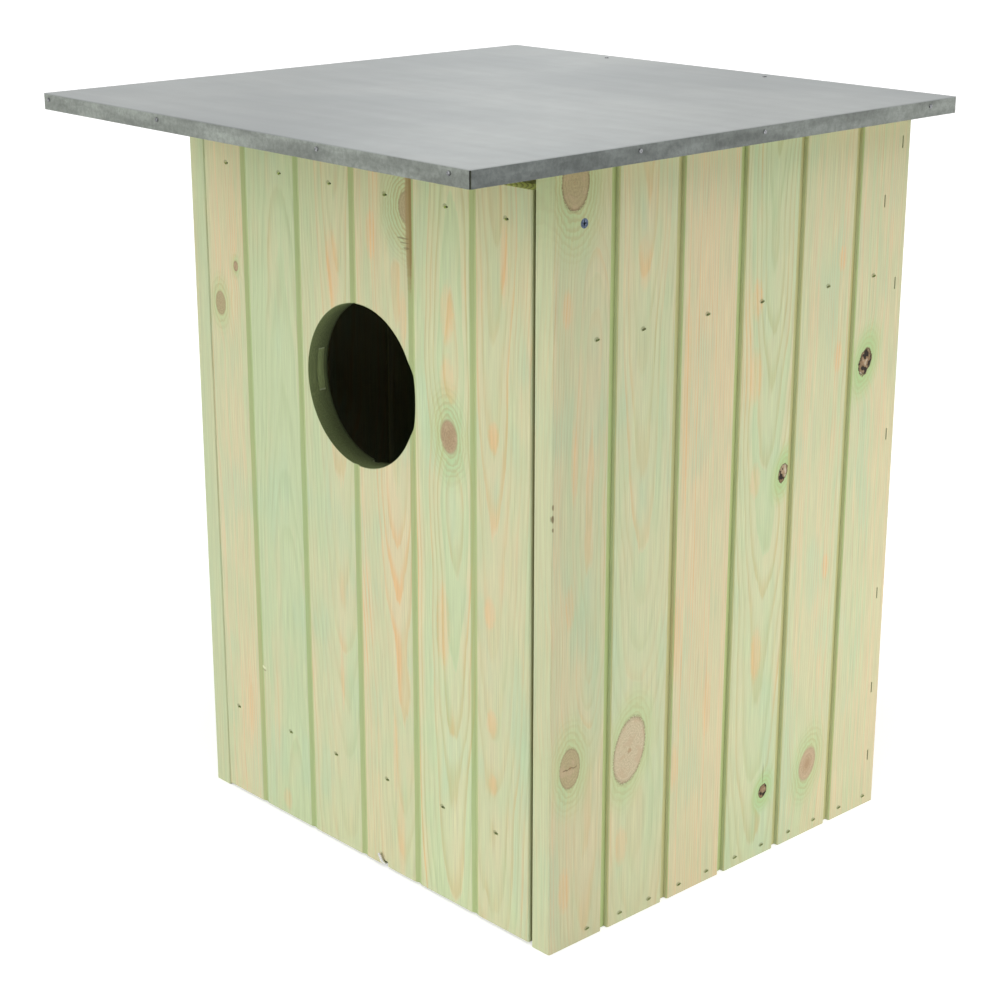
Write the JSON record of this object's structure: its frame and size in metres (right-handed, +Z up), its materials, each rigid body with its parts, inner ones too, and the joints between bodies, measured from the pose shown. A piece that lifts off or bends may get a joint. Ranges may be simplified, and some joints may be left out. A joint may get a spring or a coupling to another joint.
{
  "type": "owl nest box",
  "caption": "Square nest box of vertical channelled boards with a round entrance, a swing-up front held by a turn hook and a flat overhanging zinc roof.",
  "frame": {"origin": "middle of the underside of the box, at the level of the side panels' lower ends", "axes": "+Z up, the front with the entrance hole faces -Y, +X to the right of someone facing the front"},
  "size_m": [0.4592, 0.4677, 0.5622],
  "materials": {
    "treated_pine": "planed pressure-treated pine",
    "batten_wood": "sawn pressure-treated pine",
    "deck_wood": "board edge, unfinished",
    "zinc_sheet": "dull galvanised sheet",
    "fastener_steel": "galvanised wire",
    "plated_steel": "bright zinc plating"
  },
  "bodies": {
    "box": {"back_batten": "batten_wood", "back_board_1": "treated_pine", "back_board_2": "treated_pine", "back_board_3": "treated_pine", "back_board_4": "treated_pine", "back_board_5": "treated_pine", "back_board_6": "treated_pine", "back_board_7": "treated_pine", "back_brads": "fastener_steel", "floor_board_1": "treated_pine", "floor_board_2": "treated_pine", "floor_board_3": "treated_pine", "floor_board_4": "treated_pine", "floor_board_5": "treated_pine", "floor_board_6": "treated_pine", "left_back_staples": "fastener_steel", "left_floor_brads": "fastener_steel", "left_pivot_screw": "plated_steel", "left_side_batten": "batten_wood", "left_side_board_1": "treated_pine", "left_side_board_2": "treated_pine", "left_side_board_3": "treated_pine", "left_side_board_4": "treated_pine", "left_side_board_5": "treated_pine", "left_side_board_6": "treated_pine", "left_side_brads": "fastener_steel", "right_back_staples": "fastener_steel", "right_floor_brads": "fastener_steel", "right_pivot_screw": "plated_steel", "right_side_batten": "batten_wood", "right_side_board_1": "treated_pine", "right_side_board_2": "treated_pine", "right_side_board_3": "treated_pine", "right_side_board_4": "treated_pine", "right_side_board_5": "treated_pine", "right_side_board_6": "treated_pine", "right_side_brads": "fastener_steel", "roof_deck": "deck_wood", "roof_fixing_nails": "fastener_steel", "roof_sheet": "zinc_sheet", "roof_sheet_nails": "fastener_steel"},
    "door": {"door_board_1": "treated_pine", "door_board_2": "treated_pine", "door_board_3": "treated_pine", "door_board_4": "treated_pine", "door_board_5": "treated_pine", "door_board_6": "treated_pine", "door_bottom_batten": "batten_wood", "door_brads": "fastener_steel", "door_top_batten": "batten_wood"},
    "hook": {"latch_hook": "plated_steel"}
  },
  "joints": [
    {"name": "door_swing", "type": "hinge", "parent": "box", "child": "door", "pos_m": [0, -0.15375, 0.5095], "axis": [-1, 0, 0], "range_deg": [0, 90]},
    {"name": "hook_turn", "type": "hinge", "parent": "box", "child": "hook", "pos_m": [0.0185, -0.161, 0.004], "axis": [0, -1, 0], "range_deg": [0, 145]}
  ]
}
